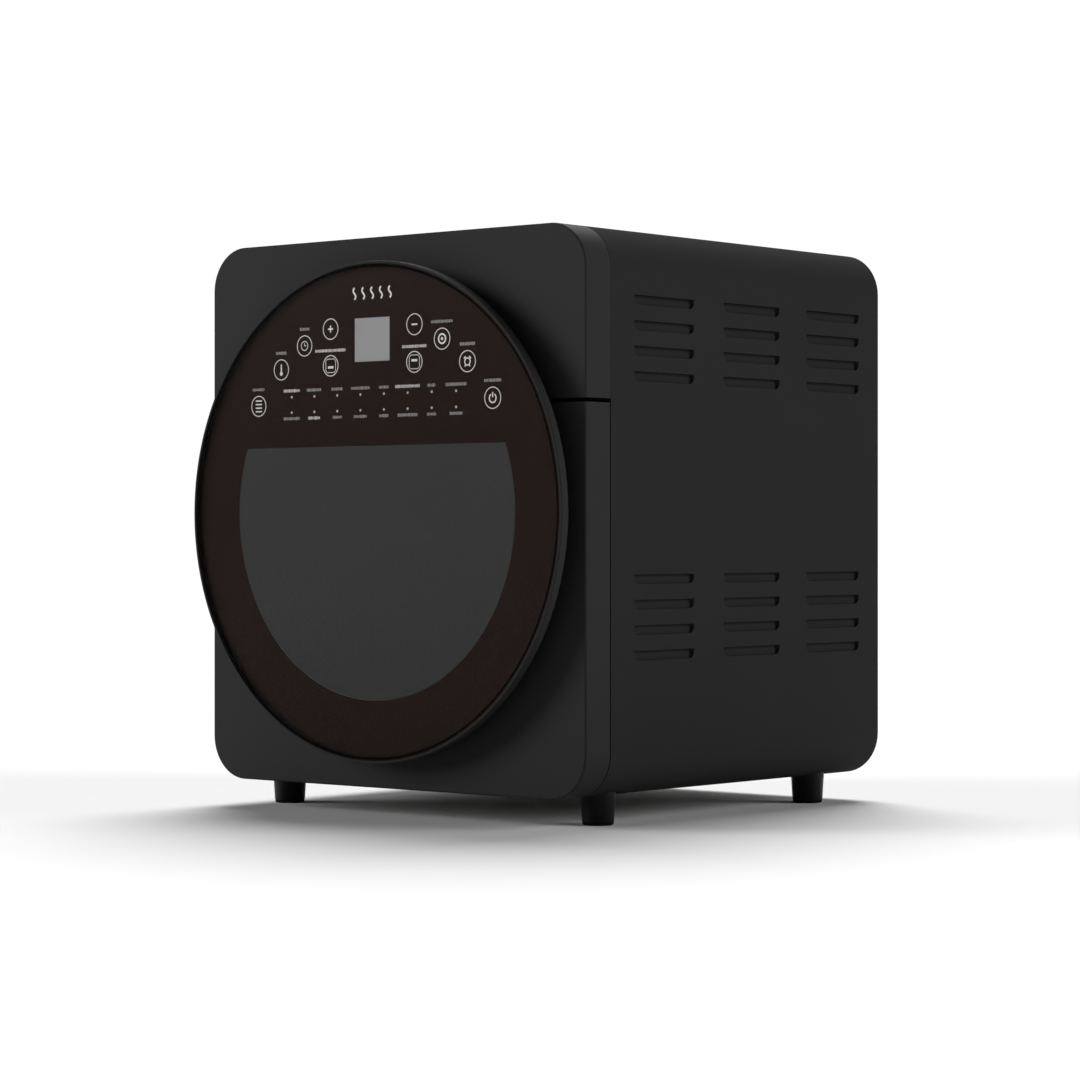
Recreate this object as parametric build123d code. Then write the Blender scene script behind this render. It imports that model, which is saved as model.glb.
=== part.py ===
"""Countertop toaster oven with a round glass front, as an assembly of separate pieces.

Row frame: +X to the right of someone facing the door, +Y to the back, +Z up, in millimetres.
The origin is at the middle of the footprint, on the surface that the oven stands on.
"""
import math
import os

from build123d import *

# ---------------------------------------------------------------- driving dimensions
FOOT_H = 18.0            # from the table to the underside of the casing
BODY_W = 320.0           # casing width
BODY_H = 350.0           # casing height
CORNER_R = 28.0          # corners of the casing outline
Y_FACE = -150.0          # front plane of the door panel and the fascia
Y_WRAP = -126.0          # front edge of the sheet casing
Y_REAR = 160.0           # rear edge of the sheet casing
SHEET = 1.0              # casing sheet
LINER_SHEET = 0.8        # oven cavity sheet

Z_BASE = FOOT_H
Z_ROOF = FOOT_H + BODY_H
Z_MID = FOOT_H + BODY_H / 2

# the gap that parts the door panel from the fixed fascia above it
SPLIT_Z = 260.1
SPLIT_GAP = 2.6
DOOR_TOP = SPLIT_Z - SPLIT_GAP / 2
FASCIA_LOW = SPLIT_Z + SPLIT_GAP / 2

PLATE_T = 2.0
PLATE_EDGE = 1.3         # radius of the front plates' outer edge
Y_FRAME = Y_FACE + PLATE_T
BEZEL_WALL = 2.2
DOOR_BACK = -127.0       # rear plane of the door
FASCIA_BACK = -126.3     # rear plane of the fascia, a hairline in front of the casing

# round front
Y_GLASS = -170.0         # front plane of the round glass
GLASS_R = 155.4
GLASS_T = 3.0
PRINT_GAP = 0.1          # optical glue between the glass and its printed mask
PRINT_T = 0.4
Y_PRINT = Y_GLASS + GLASS_T + PRINT_GAP
Y_BEHIND = Y_PRINT + PRINT_T
RIM_IN_R = 156.2
RIM_R = 157.9
RIM_DEPTH = 6.4
RIM_ROUND = 0.6
Y_RIM_BACK = Y_GLASS + RIM_DEPTH
CARRIER_R = 140.0
CARRIER_WALL = 2.5
Y_CARRIER_BACK = -152.0
Y_BOARD = -160.0
WINDOW_R = 118.5
WINDOW_TOP = 42.0        # flat top of the window, above the middle of the disc

# controls, measured from the middle of the disc
KEY_RING_R = 122.0
KEY_ANGLES = (17.2, 29.0, 41.0, 55.5)
HEAT_KEY_X = 36.0
HEAT_KEY_Z = 93.2
DISPLAY_W = 30.0
DISPLAY_H = 27.5
DISPLAY_Z = 108.6
DOT_PITCH = 20.2
DOT_ROWS = (74.2, 64.3)
DOTS_PER_ROW = 8
DOT_R = 0.8

# door hinge
PIVOT_Y = -143.0
PIVOT_Z = 30.0
PIN_R = 2.0
PIN_CLEARANCE = 0.05
ARM_X = 118.0
ARM_T = 3.0
ARM_HALF_H = 4.5
ARM_SLOT = 6.0
EAR_T = 4.5

# front frame and oven cavity
Y_FRONT_FRAME = -122.0
FRAME_T = 1.0
CAVITY_X = 129.0
CAVITY_LOW = 40.0
CAVITY_HIGH = 250.0
CAVITY_FRONT = Y_FRONT_FRAME + FRAME_T
CAVITY_BACK = 136.0
RAIL_LEVELS = (73.0, 126.0, 179.0)
RAIL_R = 3.0
RAIL_FRONT = -91.0
RAIL_BACK = 118.0

RACK_Z = RAIL_LEVELS[0] + RAIL_R + 2.5
HEATER_Y = (-68.0, -22.0, 38.0, 84.0)
HEATER_Z = 56.0
HEATER_R = 3.2
LAMP_Y = 88.0
LAMP_Z = 216.0

# hot-air fan over the cavity
FAN_Y = 8.0
FAN_OPENING_R = 88.0
PLENUM_R = 95.0
PLENUM_TOP = 292.0
SHAFT_R = 3.0
MOTOR_Z = 314.0

# rotisserie
SPIT_Y = -5.0
SPIT_Z = 157.0
SPIT_HALF = 4.0          # half of the square rod's width

# feet
FOOT_X = 133.0
FOOT_Y = (-105.4, 116.3)
FOOT_TOP_R = 11.0
FOOT_TIP_R = 10.0
PAD_T = 2.0

# side vents
LOUVRE_L = 60.0
LOUVRE_H = 6.0
LOUVRE_PITCH = 15.6
LOUVRE_Y = (-103.4, -12.6, 77.2)
LOUVRE_TOPS = (325.7, 154.5)
LOUVRE_ROWS = 4
LOUVRE_DEPTH_LOW = 1.8
LOUVRE_DEPTH_HIGH = 3.4
REAR_LOUVRE_X = (-110.0, -30.0, 50.0)
REAR_LOUVRE_TOP = 330.0
REAR_LOUVRE_ROWS = 6

# cord entry
GLAND_X = 112.0
GLAND_Z = 52.0
GLAND_BORE_R = 4.0

SCREW_R = 1.7

BIG = 1000.0


# ---------------------------------------------------------------- helpers
def box(x0, x1, y0, y1, z0, z1):
    """A block between two corners."""
    return Pos((x0 + x1) / 2, (y0 + y1) / 2, (z0 + z1) / 2) * Box(x1 - x0, y1 - y0, z1 - z0)


def slab_x(sketch, x0, x1):
    """A sketch in (Y, Z), extruded from x0 to x1."""
    return extrude(Plane.YZ.offset(x0) * sketch, amount=x1 - x0)


def slab_y(sketch, y0, y1):
    """A sketch in (X, Z), extruded from y0 to y1."""
    return extrude(Plane.XZ.offset(-y1) * sketch, amount=y1 - y0)


def slab_z(sketch, z0, z1):
    """A sketch in (X, Y), extruded from z0 to z1."""
    return extrude(Plane.XY.offset(z0) * sketch, amount=z1 - z0)


def rod_x(y, z, radius, x0, x1):
    return slab_x(Pos(y, z) * Circle(radius), x0, x1)


def rod_y(x, z, radius, y0, y1):
    return slab_y(Pos(x, z) * Circle(radius), y0, y1)


def rod_z(x, y, radius, z0, z1):
    return slab_z(Pos(x, y) * Circle(radius), z0, z1)


def both_sides(shape):
    """The shape and its mirror image across the middle plane, as one list."""
    return [shape, mirror(shape, about=Plane.YZ)]


def outline(inset=0.0):
    """Casing outline in (X, Z)."""
    return Pos(0, Z_MID) * RectangleRounded(BODY_W - 2 * inset, BODY_H - 2 * inset, CORNER_R - inset)


def above(z):
    return Pos(0, z + BIG / 2) * Rectangle(BIG, BIG)


def below(z):
    return Pos(0, z - BIG / 2) * Rectangle(BIG, BIG)


def disc(radius):
    """A circle round the middle of the round front, in (X, Z)."""
    return Pos(0, Z_MID) * Circle(radius)


def window(grow=0.0):
    """The D-shaped window, in (X, Z)."""
    return disc(WINDOW_R + grow) & below(Z_MID + WINDOW_TOP + grow)


def key_places():
    """Centres of the touch keys, in (X, Z)."""
    places = []
    for side in (-1, 1):
        for angle in KEY_ANGLES:
            a = math.radians(angle)
            places.append((side * KEY_RING_R * math.sin(a), Z_MID + KEY_RING_R * math.cos(a)))
        places.append((side * HEAT_KEY_X, Z_MID + HEAT_KEY_Z))
    return places


def dot_places():
    """Centres of the programme lights, in (X, Z)."""
    first = -DOT_PITCH * (DOTS_PER_ROW - 1) / 2
    return [(first + i * DOT_PITCH, Z_MID + row) for row in DOT_ROWS for i in range(DOTS_PER_ROW)]


def holes_y(places, radius):
    """Circles at (X, Z) places, as one sketch."""
    return Sketch() + [Pos(x, z) * Circle(radius) for x, z in places]


# ---------------------------------------------------------------- casing
def louvre(y_start, z_top):
    """The pocket and the pressed-in scoop of one louvre on the right side."""
    x_out = BODY_W / 2
    z_low = z_top - LOUVRE_H
    y_mid = y_start + LOUVRE_L / 2

    def bowl(grow, corner):
        shape = Rectangle(LOUVRE_L + 2 * grow, LOUVRE_H + grow)
        shape = fillet(shape.vertices().group_by(Axis.Y)[0], corner)
        return Pos(y_mid, z_top - (LOUVRE_H + grow) / 2) * shape

    def wedge(x_front, z_bottom, back):
        points = [
            (x_front, z_bottom),
            (x_out - LOUVRE_DEPTH_LOW - back, z_bottom),
            (x_out - LOUVRE_DEPTH_HIGH - back, z_top),
            (x_front, z_top),
        ]
        return slab_y(make_face(Polyline(points, close=True)), y_start - 5, y_start + LOUVRE_L + 5)

    pocket = slab_x(bowl(0, 4.5), x_out - 8, x_out + 1) & wedge(x_out + 1, z_low, 0)
    x_skin = x_out - SHEET / 2
    scoop = slab_x(bowl(SHEET, 5.5), x_out - 9, x_skin) & wedge(x_skin, z_low - SHEET, SHEET)
    return pocket, scoop


def outer_wrap():
    """Sheet casing: one band round the sides, roof and lower corners, open under the base plate."""
    band = slab_y(outline() - outline(SHEET), Y_WRAP, Y_REAR)
    band -= box(-118, 118, Y_WRAP - 1, 148, Z_BASE - 1, Z_BASE + 4)
    band -= box(-134, 134, Y_WRAP - 1, Y_FRONT_FRAME, Z_BASE - 1, Z_BASE + 2)
    for x in (-FOOT_X + 8, FOOT_X - 8):
        for y in FOOT_Y:
            band -= rod_z(x, y, 2.4, Z_BASE - 1, Z_BASE + 3)
    pockets, scoops = [], []
    for z_first in LOUVRE_TOPS:
        for row in range(LOUVRE_ROWS):
            for y in LOUVRE_Y:
                pocket, scoop = louvre(y, z_first - row * LOUVRE_PITCH)
                pockets += both_sides(pocket)
                scoops += both_sides(scoop)
    return (band + scoops) - pockets


def base_plate():
    """Flat floor panel with air slots, resting on the lips of the casing."""
    plate = box(-128, 128, -120, 150, Z_BASE + SHEET, Z_BASE + 2 * SHEET)
    slots = []
    for x in (-60, 0, 60):
        for i in range(6):
            slots.append(Pos(x, -40 + 20 * i) * SlotOverall(44, 5))
    plate -= slab_z(Sketch() + slots, Z_BASE, Z_BASE + 4)
    for x in (-FOOT_X + 8, FOOT_X - 8):
        for y in FOOT_Y:
            plate -= rod_z(x, y, 2.4, Z_BASE, Z_BASE + 4)
    return plate


def feet():
    """Four tapered plastic feet whose tops follow the rounded lower corners."""
    casing = slab_y(outline(), Y_WRAP - 1, Y_REAR + 1)
    pieces = []
    for x in (-FOOT_X, FOOT_X):
        for y in FOOT_Y:
            cone = Pos(x, y, PAD_T) * Cone(
                FOOT_TIP_R, FOOT_TOP_R, FOOT_H - PAD_T, align=(Align.CENTER, Align.CENTER, Align.MIN)
            )
            skirt = rod_z(x, y, FOOT_TOP_R, FOOT_H, FOOT_H + 5)
            inner = math.copysign(abs(x) - 8, x)
            bore = rod_z(inner, y, SCREW_R, FOOT_H - 12, FOOT_H + 6)
            pieces.append((cone + skirt) - casing - bore)
    return pieces


def foot_pads():
    """Rubber tips of the feet."""
    pieces = []
    for x in (-FOOT_X, FOOT_X):
        for y in FOOT_Y:
            pad = rod_z(x, y, FOOT_TIP_R - 0.3, 0, PAD_T)
            pieces.append(fillet(pad.edges().group_by(Axis.Z)[0], 1.0))
    return pieces


def rear_cover():
    """Rear panel: a shallow pan inside the casing, with exhaust louvres and the cord hole."""
    y_out = Y_REAR - 1
    pan = slab_y(outline(SHEET + 0.2), y_out - 9, y_out)
    pan -= slab_y(outline(2 * SHEET + 0.2), y_out - 10, y_out - SHEET)
    turn = Pos(0, y_out - BODY_W / 2, 0) * Rot(0, 0, 90)
    pockets, scoops = [], []
    for row in range(REAR_LOUVRE_ROWS):
        for x in REAR_LOUVRE_X:
            pocket, scoop = louvre(x, REAR_LOUVRE_TOP - row * LOUVRE_PITCH)
            pockets.append(turn * pocket)
            scoops.append(turn * scoop)
    pan = (pan + scoops) - pockets
    pan -= rod_y(GLAND_X, GLAND_Z, 8.0, y_out - 5, y_out + 5)
    for x, z in rear_screw_places():
        pan -= rod_y(x, z, 2.0, y_out - 5, y_out + 5)
    return pan


def rear_screw_places():
    sides = [(x, z) for x in (-140, 140) for z in (50, 140, 240, 335)]
    return sides + [(x, z) for x in (-70, 70) for z in (34, 352)]


def pan_screw(length):
    """Cross-recess pan-head screw pointing down, with the underside of its head at the origin."""
    head = fillet(rod_z(0, 0, 3.5, 0, 2.0).edges().group_by(Axis.Z)[-1], 1.2)
    head -= box(-2.4, 2.4, -0.5, 0.5, 1.2, 3)
    head -= box(-0.5, 0.5, -2.4, 2.4, 1.2, 3)
    return head + rod_z(0, 0, SCREW_R, -length, 0)


def casing_screws():
    """Screws of the rear panel, and those that come down through the base plate into the feet."""
    pieces = [Pos(x, Y_REAR - 1, z) * Rot(-90, 0, 0) * pan_screw(4.5) for x, z in rear_screw_places()]
    for x in (-FOOT_X + 8, FOOT_X - 8):
        for y in FOOT_Y:
            pieces.append(Pos(x, y, FOOT_H + 2 * SHEET) * pan_screw(12))
    return pieces


def rear_spacers():
    """Two bumpers that keep the hot rear panel off a wall."""
    pieces = []
    for x in (-100, 100):
        bar = slab_y(Pos(x, 205) * RectangleRounded(26, 40, 6), Y_REAR - 1, Y_REAR + 10)
        bar = fillet(bar.edges().group_by(Axis.Y)[-1], 3)
        pieces.append(bar)
    return pieces


def cord_gland():
    """Round bushing of the mains lead, flanged on both sides of the rear panel."""
    y_out = Y_REAR - 1
    body = rod_y(GLAND_X, GLAND_Z, 7.9, y_out - 7, y_out + 6)
    front = rod_y(GLAND_X, GLAND_Z, 10.5, y_out, y_out + 3)
    front = fillet(front.edges().group_by(Axis.Y)[-1], 1)
    back = rod_y(GLAND_X, GLAND_Z, 9.5, y_out - 4, y_out - SHEET)
    return (body + front + back) - rod_y(GLAND_X, GLAND_Z, GLAND_BORE_R, y_out - 8, y_out + 7)


# ---------------------------------------------------------------- fixed fascia
def front_plate(limit):
    """Front plate with a softened outer edge, sharp along the split."""
    plate = slab_y(outline(), Y_FACE, Y_FRAME)
    plate = fillet(plate.edges().group_by(Axis.Y)[0], PLATE_EDGE)
    return plate & slab_y(limit, Y_FACE - 1, Y_FRAME + 1)


def fascia_plate():
    return front_plate(above(FASCIA_LOW))


def fascia_frame():
    """Side walls of the fascia, with a closed lower wall over the door."""
    walls = outline() & above(FASCIA_LOW)
    hollow = outline(BEZEL_WALL) & above(FASCIA_LOW + BEZEL_WALL)
    frame = slab_y(walls - hollow, Y_FRAME, FASCIA_BACK)
    for z in (285, 340):
        post = rod_y(120, z, 4.5, Y_FRAME, FASCIA_BACK) + box(120, 158.5, Y_FRAME, FASCIA_BACK, z - 1, z + 1)
        frame = frame + both_sides(post - rod_y(120, z, 1.4, Y_FRAME + 8, FASCIA_BACK + 1))
    return frame


# ---------------------------------------------------------------- door
def door_plate():
    """Front plate of the door panel, with the window cut through it."""
    plate = front_plate(below(DOOR_TOP))
    plate -= slab_y(window(2.0), Y_FACE - 1, Y_FRAME + 1)
    return plate - slab_y(holes_y(door_screw_places(), SCREW_R), Y_FACE - 1, Y_FRAME + 1)


def door_screw_places():
    """Screws that hold the round front to the door panel, in (X, Z)."""
    places = []
    for angle in (100, 130, 160, 200, 230, 260):
        a = math.radians(angle)
        places.append((130.5 * math.sin(a), Z_MID + 130.5 * math.cos(a)))
    return places


def arm_slots(y0, y1, z0, z1):
    return [box(s * ARM_X - ARM_SLOT / 2, s * ARM_X + ARM_SLOT / 2, y0, y1, z0, z1) for s in (-1, 1)]


def door_frame():
    """Four walls of the door panel, slotted for the hinge arms."""
    walls = outline() & below(DOOR_TOP)
    hollow = outline(BEZEL_WALL) & below(DOOR_TOP - BEZEL_WALL)
    frame = slab_y(walls - hollow, Y_FRAME, DOOR_BACK)
    ledge = (outline(BEZEL_WALL) & below(DOOR_TOP - BEZEL_WALL)) - Pos(0, 146) * RectangleRounded(252, 186, 8)
    frame += slab_y(ledge - holes_y(liner_screw_places(), SCREW_R), -133.2, -131.2)
    frame = frame - arm_slots(Y_FRAME - 0.1, DOOR_BACK + 1, Z_BASE - 1, 38)
    for s in (-1, 1):
        frame -= box(s * ARM_X - 9.5, s * ARM_X + 9.5, -140, -129, Z_BASE + BEZEL_WALL, 40)
    return frame


def door_glass_inner():
    """Inner pane of the door."""
    return slab_y(Pos(0, 146) * RectangleRounded(262, 196, 6), -131.2, -128.2)


def door_liner():
    """Pressed sheet that holds the inner pane and faces the oven."""
    plate = slab_y(outline(BEZEL_WALL + 0.3) & below(DOOR_TOP - BEZEL_WALL - 0.3), -128.2, DOOR_BACK)
    plate -= slab_y(Pos(0, 146) * RectangleRounded(238, 172, 10), -130, DOOR_BACK + 1)
    plate = plate - arm_slots(-130, DOOR_BACK + 1, Z_BASE, 38)
    return plate - slab_y(holes_y(liner_screw_places(), SCREW_R), -130, DOOR_BACK + 1)


def liner_screw_places():
    return [(x, z) for x in (-147, 147) for z in (50, 116, 182, 248)]


def hinge_blocks():
    """Four ears inside the door that carry the hinge pins."""
    pieces = []
    for s in (-1, 1):
        for side in (-1, 1):
            inner = s * ARM_X + side * ARM_SLOT / 2
            outer = inner + side * EAR_T
            x0, x1 = min(inner, outer), max(inner, outer)
            ear = box(x0, x1, Y_FRAME, -129, Z_BASE + BEZEL_WALL, 38)
            ear -= rod_x(PIVOT_Y, PIVOT_Z, PIN_R, x0 - 1, x1 + 1)
            pieces.append(ear)
    return pieces


def hinge_pins():
    pieces = []
    for s in (-1, 1):
        half = ARM_SLOT / 2 + EAR_T + 0.8
        pieces.append(rod_x(PIVOT_Y, PIVOT_Z, PIN_R, s * ARM_X - half, s * ARM_X + half))
    return pieces


def hinge_brackets():
    """Steel arms fixed behind the front frame; the door turns on their front eyes."""
    pieces = []
    for s in (-1, 1):
        x0, x1 = s * ARM_X - ARM_T / 2, s * ARM_X + ARM_T / 2
        arm = box(x0, x1, PIVOT_Y, -120.8, PIVOT_Z - ARM_HALF_H, PIVOT_Z + ARM_HALF_H)
        arm += rod_x(PIVOT_Y, PIVOT_Z, ARM_HALF_H, x0, x1)
        arm += box(x0 - 6, x1 + 6, CAVITY_FRONT, CAVITY_FRONT + 2, 23, 39)
        arm -= rod_x(PIVOT_Y, PIVOT_Z, PIN_R + PIN_CLEARANCE, x0 - 1, x1 + 1)
        pieces.append(arm)
    return pieces


# ---------------------------------------------------------------- round front
def disc_rim():
    """Moulded rim: a thin lip round the glass and a flat ledge behind it."""
    y_step = Y_BEHIND
    body = slab_y(disc(RIM_R), Y_GLASS, Y_RIM_BACK)
    body = fillet(body.edges().group_by(Axis.Y)[0], RIM_ROUND)
    body = fillet(body.edges().group_by(Axis.Y)[-1], RIM_ROUND)
    body -= slab_y(disc(RIM_IN_R), Y_GLASS - 1, y_step)
    return body - slab_y(disc(CARRIER_R - 4), y_step - 1, Y_RIM_BACK + 1)


def disc_glass():
    """Round outer glass with a fine ground edge."""
    pane = slab_y(disc(GLASS_R), Y_GLASS, Y_GLASS + GLASS_T)
    return chamfer(pane.edges().group_by(Axis.Y)[0], 0.5)


def disc_print():
    """Opaque printed mask behind the glass, open at the window, the display and the lights."""
    mask = disc(GLASS_R) - window() - Pos(0, Z_MID + DISPLAY_Z) * Rectangle(DISPLAY_W, DISPLAY_H)
    return slab_y(mask - holes_y(dot_places(), DOT_R), Y_PRINT, Y_BEHIND)


def disc_carrier():
    """Pan behind the rim: it stands on the door panel below and clears the fascia above."""
    pan = slab_y(disc(CARRIER_R), Y_RIM_BACK, Y_CARRIER_BACK)
    pan -= slab_y(disc(CARRIER_R - CARRIER_WALL), Y_RIM_BACK - 1, Y_CARRIER_BACK - 1.6)
    pad = disc(CARRIER_R - 1) & below(DOOR_TOP - 3)
    pan += slab_y(pad, Y_CARRIER_BACK, Y_FACE)
    pan -= slab_y(window(2.0), Y_RIM_BACK, Y_FACE + 1)
    pan -= slab_y(holes_y(door_screw_places(), SCREW_R), Y_FACE - 3.0, Y_FACE + 1)
    for x, z in board_post_places():
        pan += rod_y(x, z, 3.0, -158.4, Y_CARRIER_BACK - 1) + rod_y(x, z, 1.6, -161.4, -158)
    return pan


def board_post_places():
    return [(x, Z_MID + 56) for x in (-100, 0, 100)]


def window_sleeve():
    """Dark sleeve between the two panes, which keeps stray light off the controls."""
    tube = window(1.8) - window(0.3)
    return slab_y(tube, Y_BEHIND, Y_FRAME)


def door_screws():
    """Screws from inside the door into the round front, and flat ones that hold the liner."""
    pieces = []
    for x, z in door_screw_places():
        head = rod_y(x, z, 3.2, Y_FRAME, Y_FRAME + 2.2)
        pieces.append(head + rod_y(x, z, SCREW_R, Y_FACE - 3.0, Y_FRAME))
    for x, z in liner_screw_places():
        head = rod_y(x, z, 3.0, DOOR_BACK, DOOR_BACK + 0.7)
        pieces.append(head + rod_y(x, z, SCREW_R, -134.0, DOOR_BACK))
    return pieces


def touch_board():
    """Control board behind the upper part of the glass."""
    shape = disc(133.5) & above(Z_MID + WINDOW_TOP + 8)
    board = slab_y(shape, Y_BOARD, Y_BOARD + 1.6)
    return board - slab_y(holes_y(board_post_places(), 1.65), -161, -157)


def display_module():
    """Digit display that fills its window in the print."""
    centre = Pos(0, Z_MID + DISPLAY_Z)
    case = slab_y(centre * RectangleRounded(DISPLAY_W + 5, DISPLAY_H + 5, 1.0), Y_BEHIND, Y_BOARD)
    return case + slab_y(centre * Rectangle(DISPLAY_W - 0.2, DISPLAY_H - 0.2), Y_PRINT, Y_BEHIND)


def touch_springs():
    """Sprung contacts between the board and the glass, one behind each key."""
    pieces = []
    for x, z in key_places():
        cup = rod_y(x, z, 5.0, Y_BEHIND, Y_BOARD) - rod_y(x, z, 4.0, Y_BEHIND + 0.6, Y_BOARD + 1)
        pieces.append(cup)
    return pieces


def light_guides():
    """Clear pips of the programme lights."""
    pieces = []
    for x, z in dot_places():
        tip = rod_y(x, z, DOT_R - 0.05, Y_PRINT, Y_BEHIND)
        pieces.append(tip + rod_y(x, z, 1.6, Y_BEHIND, Y_BOARD))
    return pieces


# ---------------------------------------------------------------- front frame and cavity
def front_frame():
    """Face frame of the body, behind the door and the fascia."""
    frame = slab_y(outline(SHEET + 0.1), Y_FRONT_FRAME, CAVITY_FRONT)
    opening = Pos(0, (CAVITY_LOW + CAVITY_HIGH) / 2) * Rectangle(2 * CAVITY_X, CAVITY_HIGH - CAVITY_LOW)
    frame -= slab_y(opening, Y_FRONT_FRAME - 1, CAVITY_FRONT + 1)
    frame -= slab_y(Pos(0, 312) * RectangleRounded(200, 60, 8), Y_FRONT_FRAME - 1, CAVITY_FRONT + 1)
    for s in (-1, 1):
        x = s * ARM_X
        frame -= box(x - 1.7, x + 1.7, Y_FRONT_FRAME - 1, CAVITY_FRONT + 1, 25, 35)
    return frame


def door_gasket():
    """Silicone seal over the top and down both sides of the cavity mouth."""
    middle = (CAVITY_LOW + CAVITY_HIGH) / 2
    outer = Pos(0, middle) * RectangleRounded(272, 220, 9)
    inner = Pos(0, middle) * RectangleRounded(261, 212, 4)
    seal = slab_y((outer - inner) & above(45), DOOR_BACK + 0.4, Y_FRONT_FRAME)
    return fillet(seal.edges().group_by(Axis.Y)[0], 1.4)


def cavity_shell():
    """Oven liner: five walls, a front flange, rack rails and the openings of its fittings."""
    height = CAVITY_HIGH - CAVITY_LOW
    middle = (CAVITY_LOW + CAVITY_HIGH) / 2
    t = LINER_SHEET
    shell = box(
        -CAVITY_X - t, CAVITY_X + t, CAVITY_FRONT, CAVITY_BACK + t, CAVITY_LOW - t, CAVITY_HIGH + t
    )
    flange = Pos(0, middle) * RectangleRounded(2 * CAVITY_X + 18, height + 18, 4)
    shell += slab_y(flange, CAVITY_FRONT, CAVITY_FRONT + t)
    shell -= box(-CAVITY_X, CAVITY_X, CAVITY_FRONT - 1, CAVITY_BACK, CAVITY_LOW, CAVITY_HIGH)
    for z in RAIL_LEVELS:
        rail = rod_y(CAVITY_X, z, RAIL_R, RAIL_FRONT, RAIL_BACK) & box(
            0, CAVITY_X + t / 2, RAIL_FRONT, RAIL_BACK, z - RAIL_R, z + RAIL_R
        )
        shell += both_sides(rail)
    shell -= rod_z(0, FAN_Y, FAN_OPENING_R, CAVITY_HIGH - 1, CAVITY_HIGH + 5)
    shell -= rod_x(SPIT_Y, SPIT_Z, 7.0, CAVITY_X - 1, CAVITY_X + 5)
    shell -= rod_x(LAMP_Y, LAMP_Z, 14.0, CAVITY_X - 1, CAVITY_X + 5)
    for y in HEATER_Y:
        for x0 in (-CAVITY_X - 5, CAVITY_X - 1):
            shell -= rod_x(y, HEATER_Z, 4.6, x0, x0 + 6)
    for s in (-1, 1):
        shell -= box(s * ARM_X - 8.5, s * ARM_X + 8.5, CAVITY_FRONT - 1, CAVITY_FRONT + 3, 22, 39.2)
    return shell


def lower_heaters():
    """Four straight tube heaters over the crumb tray."""
    return [rod_x(y, HEATER_Z, HEATER_R, -CAVITY_X - 9, CAVITY_X + 9) for y in HEATER_Y]


def heater_insulators():
    """Ceramic beads where the heaters pass through the side walls."""
    pieces = []
    for y in HEATER_Y:
        bead = rod_x(y, HEATER_Z, 4.5, CAVITY_X - 1.5, CAVITY_X + LINER_SHEET)
        bead += rod_x(y, HEATER_Z, 7.0, CAVITY_X + LINER_SHEET, CAVITY_X + 6)
        bead -= rod_x(y, HEATER_Z, HEATER_R, CAVITY_X - 3, CAVITY_X + 8)
        pieces += both_sides(bead)
    return pieces


def crumb_tray():
    """Shallow sheet tray on the cavity floor."""
    base = Pos(0, 10) * RectangleRounded(236, 236, 6)
    inner = Pos(0, 10) * RectangleRounded(236 - 1.6, 236 - 1.6, 5.2)
    tray = slab_z(base, CAVITY_LOW, CAVITY_LOW + 8) - slab_z(inner, CAVITY_LOW + 0.8, CAVITY_LOW + 9)
    tray -= slab_z(Pos(0, -104) * SlotOverall(40, 8), CAVITY_LOW - 1, CAVITY_LOW + 3)
    return tray


def wire_rack():
    """Wire shelf on the lowest rails: a frame of thick rod and a row of thinner wires."""
    x, y0, y1 = 123.5, -112.0, 112.0
    frame_r, wire_r = 2.5, 1.5
    rack = rod_y(-x, RACK_Z, frame_r, y0, y1) + rod_y(x, RACK_Z, frame_r, y0, y1)
    for y in (y0, 0.0, y1):
        rack += rod_x(y, RACK_Z, frame_r, -x, x)
    for sx in (-x, x):
        for y in (y0, y1):
            rack += Pos(sx, y, RACK_Z) * Sphere(frame_r)
    for i in range(1, 14):
        rack += rod_y(-x + i * 2 * x / 14, RACK_Z + 1.0, wire_r, y0, y1)
    return rack


def fan_guard():
    """Perforated disc in the cavity ceiling under the fan."""
    guard = slab_z(Pos(0, FAN_Y) * Circle(96), CAVITY_HIGH - 1.2, CAVITY_HIGH)
    holes = []
    for ring, count in ((20, 6), (36, 12), (52, 16), (68, 22), (82, 26)):
        for i in range(count):
            a = 360 * i / count
            holes.append(Pos(0, FAN_Y) * Rot(0, 0, a) * Pos(ring, 0) * Circle(4.2))
    return guard - slab_z(Sketch() + holes, CAVITY_HIGH - 3, CAVITY_HIGH + 1)


def upper_heater():
    """Ring-shaped tube heater round the fan, with two ends that rise through the plenum."""
    coil = Pos(0, FAN_Y, 259) * Torus(70, 3.2)
    for x in (-9, 9):
        coil += rod_z(x, FAN_Y + math.sqrt(70**2 - 9**2), 2.8, 258.4, PLENUM_TOP + 9)
    return coil


def air_plenum():
    """Inverted pan over the fan opening."""
    t = LINER_SHEET
    z0 = CAVITY_HIGH + LINER_SHEET
    pan = rod_z(0, FAN_Y, PLENUM_R, z0, PLENUM_TOP) + rod_z(0, FAN_Y, PLENUM_R + 9, z0, z0 + t)
    pan -= rod_z(0, FAN_Y, PLENUM_R - t, z0 - 1, PLENUM_TOP - t)
    pan -= rod_z(0, FAN_Y, 6, PLENUM_TOP - 2, PLENUM_TOP + 1)
    for x in (-9, 9):
        pan -= rod_z(x, FAN_Y + math.sqrt(70**2 - 9**2), 5, PLENUM_TOP - 2, PLENUM_TOP + 1)
    return pan


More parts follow.
